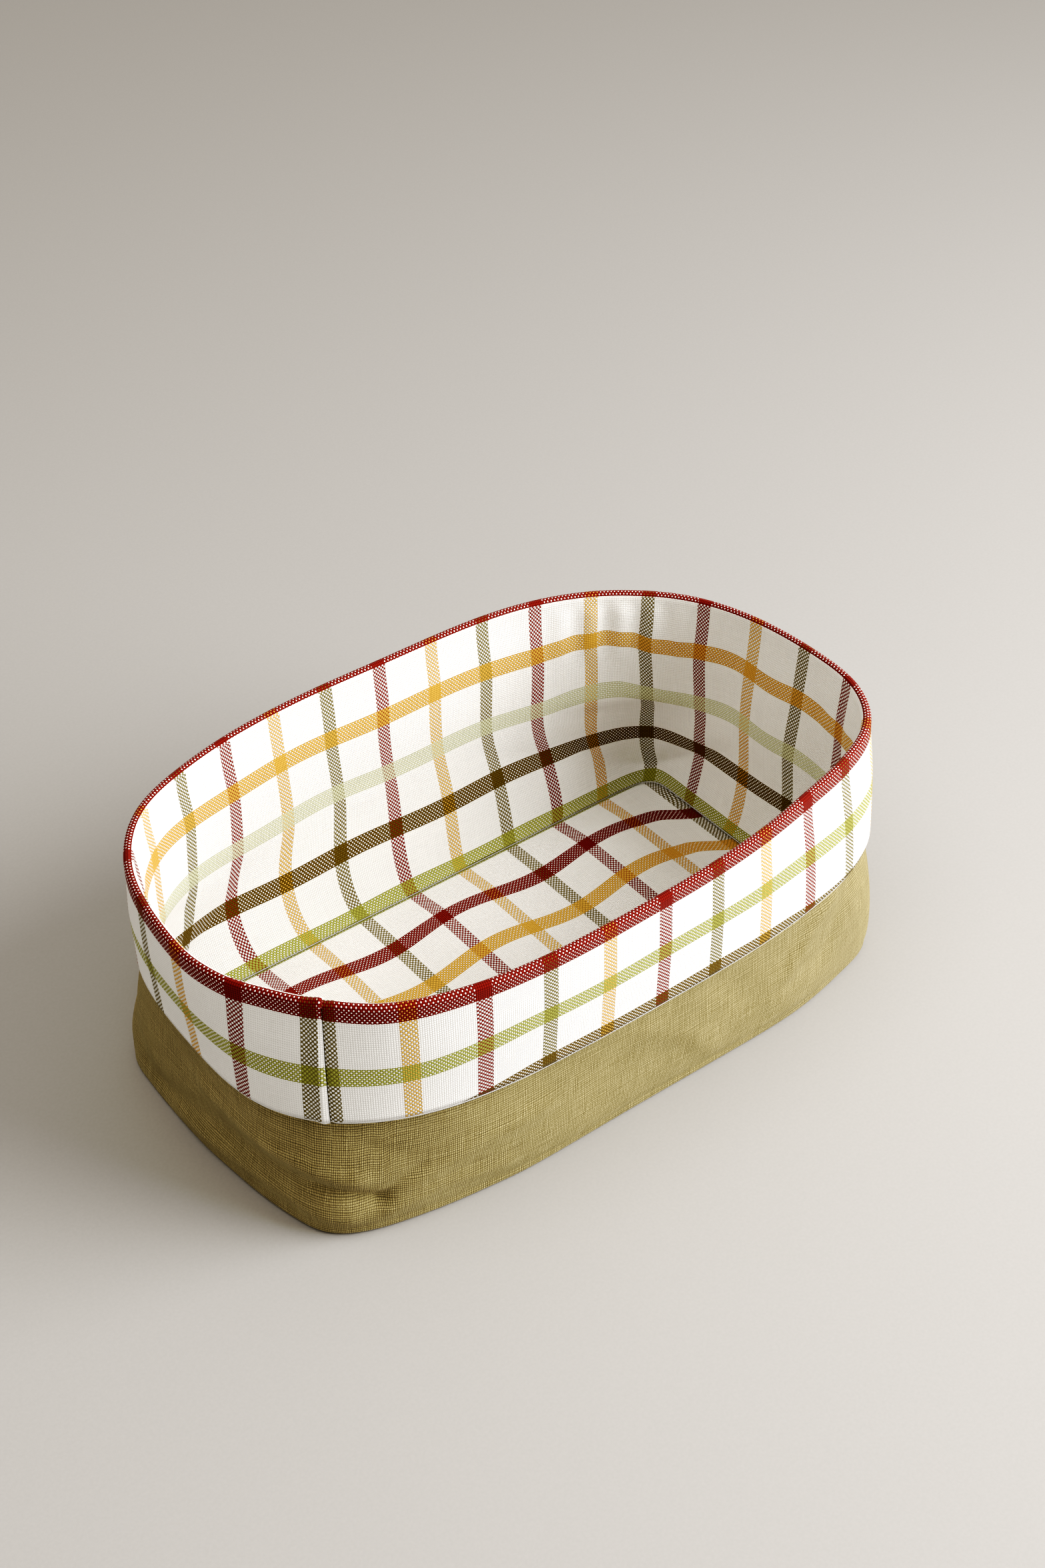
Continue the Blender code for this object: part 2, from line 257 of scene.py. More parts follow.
def stand_out(z):
    """How far a ring at height z stands out from the frame's even outline."""
    if z > HEM_Z:
        share = smooth(z, HEM_Z, HEIGHT)
        return (1.0 - share) * HEM_OUT + share * RIM_OUT
    share = smooth(z, 0.0, HEM_Z)
    return (1.0 - share) * BASE_OUT + share * HEM_OUT


def lift(z):
    """How far a ring at height z is raised. The two edges of the side seam don't quite meet level."""
    step = 0.9 * smooth(BY_SEAM, -6.0, -0.3) * (BY_SEAM < 0) * (SHARE > 0.5)
    step = step - 0.5 * (1.0 - smooth(BY_SEAM, 0.0, 4.0)) * (SHARE < 0.5)
    return RIM_UP * smooth(z, HEM_Z - 6.0, HEIGHT) + step * smooth(z, HEM_Z + 20.0, HEIGHT)


def near_line(points, z):
    """Distance of every column, at height z, from a line through the points."""
    nearest = np.full(ACROSS, 1e9)
    place = np.stack([BY_SEAM, np.full(ACROSS, float(z))], axis=1)
    for start, end in zip(points[:-1], points[1:]):
        start, step = np.array(start, float), np.array(end, float) - np.array(start, float)
        share = np.clip((place - start) @ step / (step @ step), 0.0, 1.0)
        nearest = np.minimum(nearest, np.linalg.norm(place - start - share[:, None] * step, axis=1))
    return nearest


def slack(z):
    """Outward shift of the shell below the hem, where the canvas hangs free of the lining."""
    free = smooth(z, 0.5, 9.0) * (1.0 - smooth(z, 46.0, 57.0))
    if free <= 0.0:
        return np.zeros(ACROSS)
    shift = 0.35 * np.sin(SHARE * 2 * math.pi * 9 + z / 11.0)
    for depth, width, points in FOLDS:
        shift = shift + depth * bump(near_line(points, z), 0.0, width)
    return shift * free


def ring_at(z, offset, lip=0.0):
    """The points and normals of a ring of the wall. offset counts outwards from the shell's outer face, lip
    is how much the two edges at the side seam roll in: 0 not at all, 1 as on the cuff."""
    half_x, half_y, exponent = wall_size(z)
    points, normals = superellipse(half_x, half_y, exponent, SEAM_AT_RIM)
    shift = pressed(offset, z) + stand_out(z) + slack(z)
    if lip:
        left = 0.8 * smooth(BY_SEAM, -5.0, -1.8) - 0.55 * smooth(BY_SEAM, -1.8, 0.0)
        right = -0.5 * (1.0 - smooth(BY_SEAM, 0.0, 2.2))
        shift = shift + lip * pressed(1.0, z) * np.where(SHARE > 0.5, left, right)
        aside = np.where(SHARE > 0.5, -0.08, 0.12) * bump(BY_SEAM, 0.0, 1.2)
        points = points + np.stack([-normals[:, 1], normals[:, 0]], axis=1) * (lip * aside)[:, None]
    points = points + normals * shift[:, None]
    return np.column_stack([points, z + lift(z)]), normals


def keep_inside(points, z, offset):
    """Draws points in wherever they lie further out than the wall's ring at that offset."""
    wall = ring_at(z, offset)[0][:-1]
    turn = np.arctan2(wall[:, 1], wall[:, 0])
    order = np.argsort(turn)
    reach = np.hypot(wall[:, 0], wall[:, 1])
    most = np.interp(np.arctan2(points[:, 1], points[:, 0]), turn[order], reach[order], period=2 * math.pi)
    return points * np.minimum(1.0, most / np.hypot(points[:, 0], points[:, 1]))[:, None]


def lining_ring(z, share):
    """A ring of the lining's wall. share runs from 0 at its base fold to 1 where it stands upright."""
    half_x, half_y, exponent = wall_size(z)
    inner = pressed(LINING_IN, z)
    sharper = exponent + (FOLD[2] - exponent) * (1.0 - share) ** 0.8
    points, normals = superellipse(
        FOLD[0] + (half_x + inner - FOLD[0]) * share,
        FOLD[1] + (half_y + inner - FOLD[1]) * share,
        sharper,
        SEAM_AT_FOLD + (SEAM_AT_RIM - SEAM_AT_FOLD) * share,
    )
    shift = stand_out(z) * share**3
    # The cuff's turn gathers the cotton into short puckers under the rim, at the far corner and less at the
    # two corners beside it.
    gather = smooth(z, HEIGHT - 40.0, HEIGHT - 14.0) * (1.0 - smooth(z, HEIGHT - 9.0, HEIGHT - 1.0))
    gathers = bump(SHARE, 0.515, 0.035) + 0.5 * bump(SHARE, 0.36, 0.02) + 0.5 * bump(SHARE, 0.86, 0.02)
    pleats = 1.0 + np.cos(2 * math.pi * (SHARE - PUCKER_START) / PUCKER_SPACING)
    shift = shift - PUCKER_DEPTH * gather * gathers * pleats / 2
    # Between the fold and the upright part the cotton hangs a little uneven.
    loose = math.sin(math.pi * min(share, 1.0)) + 0.4 * smooth(z, FLOOR_TOP + 20.0, FLOOR_TOP + BEND)
    loose *= 1.0 - smooth(z, FLOOR_TOP + BEND, HEIGHT - 20.0)
    shift = shift + loose * (0.6 * np.sin(SHARE * 2 * math.pi * 10 + z / 17.0) - 0.5)
    points = keep_inside(points + normals * shift[:, None], z, LINING_IN)
    return np.column_stack([points, z + lift(z)]), normals


# ---------------------------------------------------------------- meshes
def grid_faces(rows, across):
    """The four-sided faces of a grid of points."""
    index = np.arange(rows * across).reshape(rows, across)
    a, b = index[:-1, :-1], index[:-1, 1:]
    c, d = index[1:, 1:], index[1:, :-1]
    return np.stack([a, b, c, d], axis=-1).reshape(-1, 4)


def grid_normals(points):
    """Unit normals of a (rows, across, 3) grid of points, on the side where columns x rows points."""
    along = np.gradient(points, axis=1)
    down = np.gradient(points, axis=0)
    normal = np.cross(along, down)
    return normal / np.maximum(np.linalg.norm(normal, axis=2, keepdims=True), 1e-9)


def make_mesh(name, points, faces, cloth, surface):
    """An object from points in millimetres, with each point's place in the cloth kept as an attribute."""
    mesh = bpy.data.meshes.new(name)
    mesh.vertices.add(len(points))
    mesh.vertices.foreach_set("co", (np.asarray(points, np.float32) * MM).ravel())
    sizes = np.array([len(face) for face in faces], np.int32)
    mesh.loops.add(int(sizes.sum()))
    mesh.loops.foreach_set("vertex_index", np.concatenate([np.asarray(face, np.int32) for face in faces]))
    mesh.polygons.add(len(faces))
    mesh.polygons.foreach_set("loop_start", np.concatenate([[0], np.cumsum(sizes)[:-1]]).astype(np.int32))
    mesh.update(calc_edges=True)
    mesh.validate()
    attribute = mesh.attributes.new("cloth", "FLOAT_VECTOR", "POINT")
    attribute.data.foreach_set("vector", np.asarray(cloth, np.float32).ravel())
    mesh.materials.append(surface)
    mesh.shade_smooth()
    made = bpy.data.objects.new(name, mesh)
    bpy.context.scene.collection.objects.link(made)
    return made


def cloth_at(u, w, opened=0.0):
    """The cloth's own coordinates at every point of a grid: round, down, and how flat the weave is pulled."""
    return np.stack(np.broadcast_arrays(u, w, opened), axis=-1)


def sheet_mesh(name, face, cloth, thickness, surface):
    """A closed sheet: the grid face is its show side, and the other side lies thickness behind it."""
    rows, across = face.shape[:2]
    back = face - grid_normals(face) * np.broadcast_to(thickness, (rows, 1))[..., None]
    count = rows * across
    points = np.concatenate([face.reshape(-1, 3), back.reshape(-1, 3)])
    attribute = np.concatenate([cloth.reshape(-1, 3)] * 2)
    front = grid_faces(rows, across)
    rear = front[:, ::-1] + count
    index = np.arange(count).reshape(rows, across)
    edge = np.concatenate([index[0, :-1], index[:-1, -1], index[-1, :0:-1], index[:0:-1, 0]])
    following = np.roll(edge, -1)
    rim = np.stack([following, edge, edge + count, following + count], axis=1)
    faces = list(np.concatenate([front, rear, rim]))
    return make_mesh(name, points, faces, attribute, surface)


def tube_mesh(name, lines, cloth, surface):
    """A closed body: each entry of lines is one line along it, in order round its section."""
    points = np.array(lines)
    count, length = points.shape[:2]
    index = np.arange(count * length).reshape(count, length)
    after = np.roll(index, -1, axis=0)
    faces = np.stack([index[:, :-1], index[:, 1:], after[:, 1:], after[:, :-1]], axis=-1).reshape(-1, 4)
    ends = [index[:, 0][::-1], index[:, -1]]
    return make_mesh(name, points.reshape(-1, 3), list(faces) + ends, cloth.reshape(-1, 3), surface)


def panel_grid(edge, exponent, count_x=160, count_y=84):
    """x, y and the share of the way out of a grid that fills a closed ring of points."""
    low, high = edge[:, :2].min(axis=0), edge[:, :2].max(axis=0)
    xi, eta = np.meshgrid(np.linspace(-1, 1, count_x), np.linspace(-1, 1, count_y))
    out = np.maximum(np.abs(xi), np.abs(eta))
    norm = (np.abs(xi) ** exponent + np.abs(eta) ** exponent) ** (1 / exponent)
    scale = out / np.maximum(norm, 1e-6)
    x, y = (high[0] - low[0]) / 2 * xi * scale, (high[1] - low[1]) / 2 * eta * scale
    turn = np.arctan2(edge[:-1, 1], edge[:-1, 0])
    order = np.argsort(turn)
    reach = np.hypot(edge[:-1, 0], edge[:-1, 1])
    wanted = np.interp(np.arctan2(y, x), turn[order], reach[order], period=2 * math.pi)
    grow = wanted * out / np.maximum(np.hypot(x, y), 1e-6)
    return x * grow, y * grow, out


# ---------------------------------------------------------------- materials
class Graph:
    """Short calls that add shader nodes and wire them."""

    def __init__(self, name):
        self.material = bpy.data.materials.new(name)
        self.material.use_nodes = True
        self.tree = self.material.node_tree
        self.shader = self.tree.nodes["Principled BSDF"]

    def put(self, socket, value):
        """Links a socket to the value, or sets it where the value is a number or a colour."""
        if isinstance(value, bpy.types.NodeSocket):
            self.tree.links.new(value, socket)
        else:
            socket.default_value = value

    def math(self, operation, *values):
        node = self.tree.nodes.new("ShaderNodeMath")
        node.operation = operation
        for socket, value in zip(node.inputs, values):
            self.put(socket, value)
        return node.outputs[0]

    def range(self, value, low, high, to_low=0.0, to_high=1.0, kind="LINEAR"):
        node = self.tree.nodes.new("ShaderNodeMapRange")
        node.interpolation_type = kind
        for socket, item in zip(node.inputs, (value, low, high, to_low, to_high)):
            self.put(socket, item)
        return node.outputs[0]

    def mix(self, share, first, second, blend="MIX"):
        node = self.tree.nodes.new("ShaderNodeMix")
        node.data_type = "RGBA"
        node.blend_type = blend
        self.put(node.inputs[0], share)
        self.put(node.inputs[6], first)
        self.put(node.inputs[7], second)
        return node.outputs[2]

    def tone(self, colour, shade):
        """The colour, made darker or lighter by a number."""
        return self.mix(1.0, colour, self.vector(shade, shade, shade), "MULTIPLY")

    def steps(self, value, colours):
        """A colour for each whole number, from a value in 0..1 that is split in equal steps."""
        node = self.tree.nodes.new("ShaderNodeValToRGB")
        ramp = node.color_ramp
        ramp.interpolation = "CONSTANT"
        while len(ramp.elements) < len(colours):
            ramp.elements.new(0.5)
        for index, colour in enumerate(colours):
            ramp.elements[index].position = index / len(colours)
            ramp.elements[index].color = (*colour, 1.0)
        self.put(node.inputs[0], value)
        return node.outputs[0]

    def noise(self, vector, scale, detail=2.0, roughness=0.5):
        node = self.tree.nodes.new("ShaderNodeTexNoise")
        self.put(node.inputs["Vector"], vector)
        node.inputs["Scale"].default_value = scale
        node.inputs["Detail"].default_value = detail
        node.inputs["Roughness"].default_value = roughness
        return node.outputs[0]

    def vector(self, x, y, z=0.0):
        node = self.tree.nodes.new("ShaderNodeCombineXYZ")
        for socket, value in zip(node.inputs, (x, y, z)):
            self.put(socket, value)
        return node.outputs[0]

    def stretched(self, u, w, along_u, along_w, layer=0.0):
        """A place for noise that runs long one way and short the other."""
        return self.vector(self.math("MULTIPLY", u, along_u), self.math("MULTIPLY", w, along_w), layer)

    def cloth(self):
        """The three cloth coordinates of cloth_at."""
        node = self.tree.nodes.new("ShaderNodeAttribute")
        node.attribute_type = "GEOMETRY"
        node.attribute_name = "cloth"
        split = self.tree.nodes.new("ShaderNodeSeparateXYZ")
        self.tree.links.new(node.outputs["Vector"], split.inputs[0])
        return split.outputs

    def weave(self, u, w, yarn, wander):
        """(over, height, hole) of a plain weave. over is above 0 where a warp yarn is on top and below 0
        where a weft yarn is. height is 1 on the crown of each yarn, and hole is 1 in the gaps between four
        yarns. The yarns wander from their even places by up to half of wander, in millimetres."""
        slow_u = self.noise(self.stretched(u, w, 0.35, 0.05), 1.0)
        slow_w = self.noise(self.stretched(u, w, 0.05, 0.35, 7.0), 1.0)
        u = self.math("ADD", u, self.math("MULTIPLY", self.math("SUBTRACT", slow_u, 0.5), wander))
        w = self.math("ADD", w, self.math("MULTIPLY", self.math("SUBTRACT", slow_w, 0.5), wander))
        wave_u = self.math("SINE", self.math("MULTIPLY", u, math.pi / yarn[0]))
        wave_w = self.math("SINE", self.math("MULTIPLY", w, math.pi / yarn[1]))
        over = self.math("MULTIPLY", wave_u, wave_w)
        height = self.math("ABSOLUTE", over)
        low_u = self.math("SUBTRACT", 1.0, self.math("ABSOLUTE", wave_u))
        low_w = self.math("SUBTRACT", 1.0, self.math("ABSOLUTE", wave_w))
        hole = self.math("POWER", self.math("MULTIPLY", low_u, low_w), 0.7)
        return over, height, hole

    def finish(self, colour, roughness, height, depth, sheen, sheen_tint):
        """Wires the shader: the height gives a relief of the depth in millimetres."""
        self.put(self.shader.inputs["Base Color"], colour)
        self.put(self.shader.inputs["Roughness"], roughness)
        relief = self.tree.nodes.new("ShaderNodeBump")
        relief.inputs["Strength"].default_value = 0.6
        relief.inputs["Distance"].default_value = depth * MM
        self.put(relief.inputs["Height"], height)
        self.tree.links.new(relief.outputs[0], self.shader.inputs["Normal"])
        self.shader.inputs["Specular IOR Level"].default_value = 0.2
        self.shader.inputs["Sheen Weight"].default_value = sheen
        self.shader.inputs["Sheen Roughness"].default_value = 0.45
        self.shader.inputs["Sheen Tint"].default_value = (*sheen_tint, 1.0)
        return self.material


# The dyes, and the stripes' order round the wall (warps) and down it (wefts).
WHITE = (0.84, 0.835, 0.825)
BURGUNDY = (0.225, 0.028, 0.018)
AMBER = (0.70, 0.42, 0.12)
GREY_OLIVE = (0.190, 0.155, 0.050)
DARK_OLIVE = (0.160, 0.105, 0.014)
GREEN = (0.400, 0.405, 0.125)
PALE_GREEN = (0.70, 0.71, 0.52)
WARP_COLOURS = (GREY_OLIVE, AMBER, BURGUNDY)
WEFT_COLOURS = (BURGUNDY, AMBER, PALE_GREEN, DARK_OLIVE, GREEN)
OLIVE_DARK, OLIVE_LIGHT = (0.190, 0.150, 0.066), (0.560, 0.485, 0.285)
WADDING_DARK, WADDING_LIGHT = (0.52, 0.50, 0.45), (0.68, 0.66, 0.61)
FLOOR_GREY = (0.425, 0.415, 0.408)
# The tint of each cloth's sheen.
COTTON_SHEEN, CANVAS_SHEEN, PLAIN_SHEEN = (1.0, 0.99, 0.97), (1.0, 0.93, 0.70), (1.0, 1.0, 1.0)
# How far each cloth's yarns wander from even places, in millimetres.
COTTON_WANDER, CANVAS_WANDER = 0.30, 1.1


def striped(g, place, repeat, width, colours):
    """(inside, dye) of the stripes that lie across a direction of the cloth."""
    counted = g.math("ADD", g.math("DIVIDE", place, repeat), 0.5)
    away = g.math("ABSOLUTE", g.math("SUBTRACT", g.math("FLOORED_MODULO", counted, 1.0), 0.5))
    inside = g.math("LESS_THAN", away, width / 2 / repeat)
    number = g.math("FLOORED_MODULO", g.math("FLOOR", counted), float(len(colours)))
    return inside, g.steps(g.math("DIVIDE", g.math("ADD", number, 0.5), float(len(colours))), colours)


def check_cotton():
    """Plain-woven white cotton with dyed yarns in both directions. The dyed wefts are packed closer than the
    warps, so they cover more. Painted shade darkens the low parts of the weave, most on dyed yarns, and the
    holes between yarns."""
    g = Graph("check_cotton")
    u, w, opened = g.cloth()
    over, height, hole = g.weave(u, w, COTTON_YARN, COTTON_WANDER)
    in_warp, warp_dye = striped(g, g.math("SUBTRACT", u, FIRST_U), REPEAT_U, STRIPE_U, WARP_COLOURS)
    in_weft, weft_dye = striped(g, w, REPEAT_W, STRIPE_W, WEFT_COLOURS)
    warp = g.mix(in_warp, (*WHITE, 1.0), warp_dye)
    weft = g.mix(in_weft, (*WHITE, 1.0), weft_dye)
    # The warp shows where over passes this level, which is higher in a weft stripe, most of all over the rim.
    level = g.range(in_weft, 0.0, 1.0, -0.05, g.range(opened, 0.0, 1.0, 0.60, 0.34))
    on_top = g.range(g.math("SUBTRACT", over, level), -0.08, 0.08, kind="SMOOTHSTEP")
    colour = g.mix(on_top, weft, warp)
    dyed = g.math("MAXIMUM", in_warp, in_weft)
    # Painted shade: low in the weave the colour is darkened, down to 0.52 on dyed yarns and barely on white
    # ones.
    hollow_shade = g.range(height, 0.0, 0.45, g.range(dyed, 0.0, 1.0, 0.97, 0.52), 1.0)
    slub_u = g.noise(g.stretched(u, w, 1.6, 0.06), 1.0)
    slub_w = g.noise(g.stretched(u, w, 0.06, 1.6, 3.0), 1.0)
    slub = g.range(g.math("ADD", slub_u, slub_w), 0.6, 1.4, 0.95, 1.03)
    # Painted shade in the holes between four yarns.
    gap_shade = g.range(hole, 0.35, 1.0, 1.0, 0.55)
    colour = g.tone(colour, g.math("MULTIPLY", g.math("MULTIPLY", slub, hollow_shade), gap_shade))
    rough = g.range(slub_u, 0.2, 0.8, 0.82, 0.95)
    return g.finish(colour, rough, height, 0.22, 0.12, COTTON_SHEEN)


def plain_cotton():
    """The same cotton where no stripe runs, on turned edges."""
    g = Graph("plain_cotton")
    u, w = g.cloth()[:2]
    height, hole = g.weave(u, w, COTTON_YARN, COTTON_WANDER)[1:]
    slub = g.range(g.noise(g.stretched(u, w, 1.6, 0.4), 1.0), 0.3, 0.7, 0.95, 1.02)
    # Painted shade: the colour is darkened in the holes between yarns.
    colour = g.tone((*WHITE, 1.0), g.math("MULTIPLY", slub, g.range(hole, 0.35, 1.0, 1.0, 0.6)))
    return g.finish(colour, g.range(slub, 0.9, 1.0, 0.84, 0.94), height, 0.2, 0.12, COTTON_SHEEN)


def olive_canvas():
    """Thick plain-woven canvas, uneven from yarn to yarn, with a painted highlight on the yarn crowns and
    painted shade in the holes.
    """
    g = Graph("olive_canvas")
    u, w = g.cloth()[:2]
    over, height, hole = g.weave(u, w, CANVAS_YARN, CANVAS_WANDER)
    slub_u = g.noise(g.stretched(u, w, 1.7, 0.07), 1.0)
    slub_w = g.noise(g.stretched(u, w, 0.07, 1.5, 5.0), 1.0)
    warp = g.mix(g.range(slub_u, 0.1, 0.9), (*OLIVE_DARK, 1.0), (*OLIVE_LIGHT, 1.0))
    weft = g.mix(g.range(slub_w, 0.1, 0.9), (*OLIVE_DARK, 1.0), (*OLIVE_LIGHT, 1.0))
    colour = g.mix(g.range(over, -0.1, 0.1), weft, warp)
    # Painted highlight and shade: the colour is lighter on the yarn crowns and darker low in the weave.
    crown_highlight = g.range(height, 0.0, 0.8, 0.50, 1.20)
    patch = g.range(g.noise(g.vector(u, w), 0.035, 3.0), 0.3, 0.7, 0.94, 1.06)
    # Painted shade in the holes between yarns, down to 0.16.
    gap_shade = g.range(hole, 0.3, 0.9, 1.0, 0.16)
    colour = g.tone(colour, g.math("MULTIPLY", g.math("MULTIPLY", crown_highlight, patch), gap_shade))
    rough = g.range(slub_w, 0.2, 0.8, 0.85, 0.97)
    return g.finish(colour, rough, height, 0.32, 0.2, CANVAS_SHEEN)


def felt():
    """Matted off-white fibres of the interlinings."""
    g = Graph("interlining")
    u, w = g.cloth()[:2]
    fibres = g.noise(g.vector(u, w), 1.3, 6.0, 0.7)
    colour = g.mix(fibres, (*WADDING_DARK, 1.0), (*WADDING_LIGHT, 1.0))
    return g.finish(colour, g.range(fibres, 0.2, 0.8, 0.88, 1.0), fibres, 0.3, 0.1, PLAIN_SHEEN)


def floor_paper():
    """The matt grey ground, with a fine grain."""
    g = Graph("studio_floor")
    place = g.tree.nodes.new("ShaderNodeNewGeometry").outputs["Position"]
    grain = g.noise(place, 900.0, 3.0)
    colour = g.tone((*FLOOR_GREY, 1.0), g.range(grain, 0.3, 0.7, 0.98, 1.02))
    return g.finish(colour, g.range(grain, 0.2, 0.8, 0.88, 0.94), grain, 0.02, 0.0, PLAIN_SHEEN)


CHECK, PLAIN, OLIVE, FELT = check_cotton(), plain_cotton(), olive_canvas(), felt()


def declare(piece, slot_name, *nodes):
    """Attaches the piece to the root body and hides the CAD nodes that it replaces; slot_name is not used."""
    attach(piece, "root")
    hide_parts(*nodes)


# ---------------------------------------------------------------- the lining: wall, rim and cuff in one cloth
def lining_rows():
    """The rings of the check cloth from the base fold up the inside, over the rim and down to the hem, the
    number of the ring on the rim's top, and each ring's height."""
    rows, heights = [], []
    for angle in np.linspace(0.0, math.pi / 2, 30):
        heights.append(FLOOR_TOP + BEND * (1.0 - math.cos(angle)))
        rows.append(lining_ring(heights[-1], math.sin(angle))[0])
    for z in np.linspace(FLOOR_TOP + BEND, RIM_CENTRE, 34)[1:]:
        heights.append(z)
        rows.append(lining_ring(z, 1.0)[0])
    for angle in np.linspace(math.pi, 0.0, 11)[1:-1]:
        offset = RIM_MIDDLE + RIM_RADIUS * math.cos(angle)
        ring = ring_at(RIM_CENTRE, offset, 0.5 - 0.5 * math.cos(angle))[0]
        ring[:, 2] += pressed(RIM_RADIUS, RIM_CENTRE) * math.sin(angle)
        heights.append(RIM_CENTRE)
        rows.append(ring)
    # The middle of the nine rings of the turn is the rim's top.
    top = len(rows) - 5
    for z in np.linspace(RIM_CENTRE, HEM_Z + 1.4, 30):
        heights.append(z)
        rows.append(ring_at(z, CUFF_OUT, 1.0)[0])
    return np.array(rows), top, np.array(heights)


def build_lining():
    """Makes the check cloth of wall and cuff."""
    rows, top, heights = lining_rows()
    lengths = np.linalg.norm(np.diff(rows, axis=0), axis=2)
    travelled = np.concatenate([np.zeros((1, ACROSS)), np.cumsum(lengths, axis=0)])
    down = travelled[top] - travelled
    inside = BAND_DOWN + down * (W_AT_FOLD - BAND_DOWN) / down[0]
    outside = BAND_DOWN + down * (HEM_W + BAND_DOWN) / -down[-1]
    w = np.where(down > 0, inside, outside)
    w = w + SWAY * smooth(down, 3.0, 20.0) * (1.0 - 0.8 * smooth(down, 40.0, 72.0))
    w = w + 0.35 * np.sin(SHARE * 2 * math.pi * 11 + down / 16.0) * smooth(np.abs(down), 2.0, 14.0)
    # The check keeps its even spacing at the base and is drawn round the rim.
    u = SHARE * CLOTH_ROUND - slide() * smooth(heights, FLOOR_TOP, HEM_Z)[:, None]
    u = u + 0.7 * np.sin(down / 11.0 + SHARE * 2 * math.pi * 5) * smooth(down, 8.0, 30.0)
    # The cuff's two edges meet at a slant: more white shows beside the seam at the hem than at the rim.
    outer = (np.arange(len(rows)) > top)[:, None]
    slant = 0.9 * smooth(HEIGHT - heights, 0.0, 45.0)[:, None]
    u = u + outer * slant * (BY_SEAM < 0) * bump(BY_SEAM, 0.0, 30.0)
    # The cloth is pulled flat on the cuff, where more of the white warp shows, and is crowded over the rim.
    opened = np.where(down > 0, 0.5 * smooth(down, 2.0, 5.0), smooth(-down, 5.0, 8.0))
    thickness = pressed(COTTON, heights)[:, None]
    piece = sheet_mesh("check_lining", rows, cloth_at(u, w, opened), thickness, CHECK)
    declare(piece, "check_cotton", "lining_wall", "cuff_face")
    return rows[0], float(w[0].mean())


def build_lining_floor(fold_ring, w_fold):
    """The lining's base: one panel that runs on from the +Y wall, in soft waves across its length."""
    # A little smaller than the wall's fold, so that the two don't touch.
    x, y, out = panel_grid(fold_ring * 0.9985, FOLD[2])
    inner = smooth(1.0 - out, 0.0, 0.3)
    waves = np.cos(2 * math.pi * (x - 80.0) / 73.0)
    swell = 1.5 + waves * (0.7 + 0.3 * np.sin(y / 24.0))
    z = FLOOR_TOP - 0.35 * smooth(out, 0.975, 1.0) + inner * swell
    far_side = fold_ring[:, 1] > FOLD[1] - 0.5
    slope, start = np.polyfit(fold_ring[far_side, 0], SHARE[far_side] * CLOTH_ROUND, 1)
    down = FOLD[1] - y
    drawn = smooth(down, 4.0, 26.0) * (2.0 + 1.6 * waves)
    # At its +X end the base is sewn on askew, so the stripes turn aside there.
    drawn = drawn - 8.0 * smooth(x, 102.0, 121.0) * smooth(down, 8.0, 26.0)
    piece = sheet_mesh(
        "lining_floor",
        np.stack([x, y, z], axis=-1),
        cloth_at(start + slope * x, w_fold + down + drawn),
        COTTON,
        CHECK,
    )
    declare(piece, "check_cotton", "lining_base")


def build_hem():
    """The turned edge below the cuff: a small roll of plain cotton."""
    lines, sides = [], 12
    for side in range(sides):
        angle = 2 * math.pi * side / sides
        ring = ring_at(HEM_Z + HEM_HALF_HEIGHT, HEM_OFFSET + HEM_HALF_DEPTH * math.cos(angle), 1.0)[0]
        ring[:, 2] += HEM_HALF_HEIGHT * math.sin(angle)
        lines.append(ring)
    turn = np.arange(sides)[:, None] * 0.45
    hem = tube_mesh("hem_edge", lines, cloth_at(SHARE * CLOTH_ROUND, turn), PLAIN)
    declare(hem, "check_cotton", "cuff_hem")


def build_seam():
    """The turned-in edges between the two lips of the cuff's side seam, from the hem up to the rim's top."""
    stations = [(z, CUFF_OUT - SEAM_DEPTH, 0.0) for z in np.linspace(HEM_Z + 1.6, RIM_CENTRE, 30)]
    for angle in np.linspace(0.0, math.pi / 2, 6)[1:]:
        inset = RIM_MIDDLE + (RIM_RADIUS - SEAM_DEPTH) * math.cos(angle)
        stations.append((RIM_CENTRE, inset, pressed(RIM_RADIUS - SEAM_DEPTH, RIM_CENTRE) * math.sin(angle)))
    half, thick = 1.1, 0.3
    section = ((-half, 0.0), (half, 0.0), (half, -thick), (-half, -thick))
    lines = [[], [], [], []]
    for z, offset, rise in stations:
        ring, normals = ring_at(z, offset)
        middle = ring[0] + np.array([0.0, 0.0, rise])
        along = np.array([-normals[0, 1], normals[0, 0], 0.0])
        out = np.array([normals[0, 0], normals[0, 1], 0.0])
        if rise:
            share = rise / pressed(RIM_RADIUS - SEAM_DEPTH, RIM_CENTRE)
            out = out * math.sqrt(max(1.0 - share**2, 0.0)) + np.array([0.0, 0.0, share])
        for line, (side, depth) in zip(lines, section):
            line.append(middle + along * side + out * depth)
    w = np.cumsum(np.linalg.norm(np.diff(np.array(lines[0]), axis=0), axis=1))
    cloth = cloth_at(np.array([[0.0], [2.0], [2.0], [0.0]]), np.concatenate([[0.0], w])[None])
    seam = tube_mesh("seam_turning", lines, cloth, PLAIN)
    declare(seam, "thread", "side_seam")


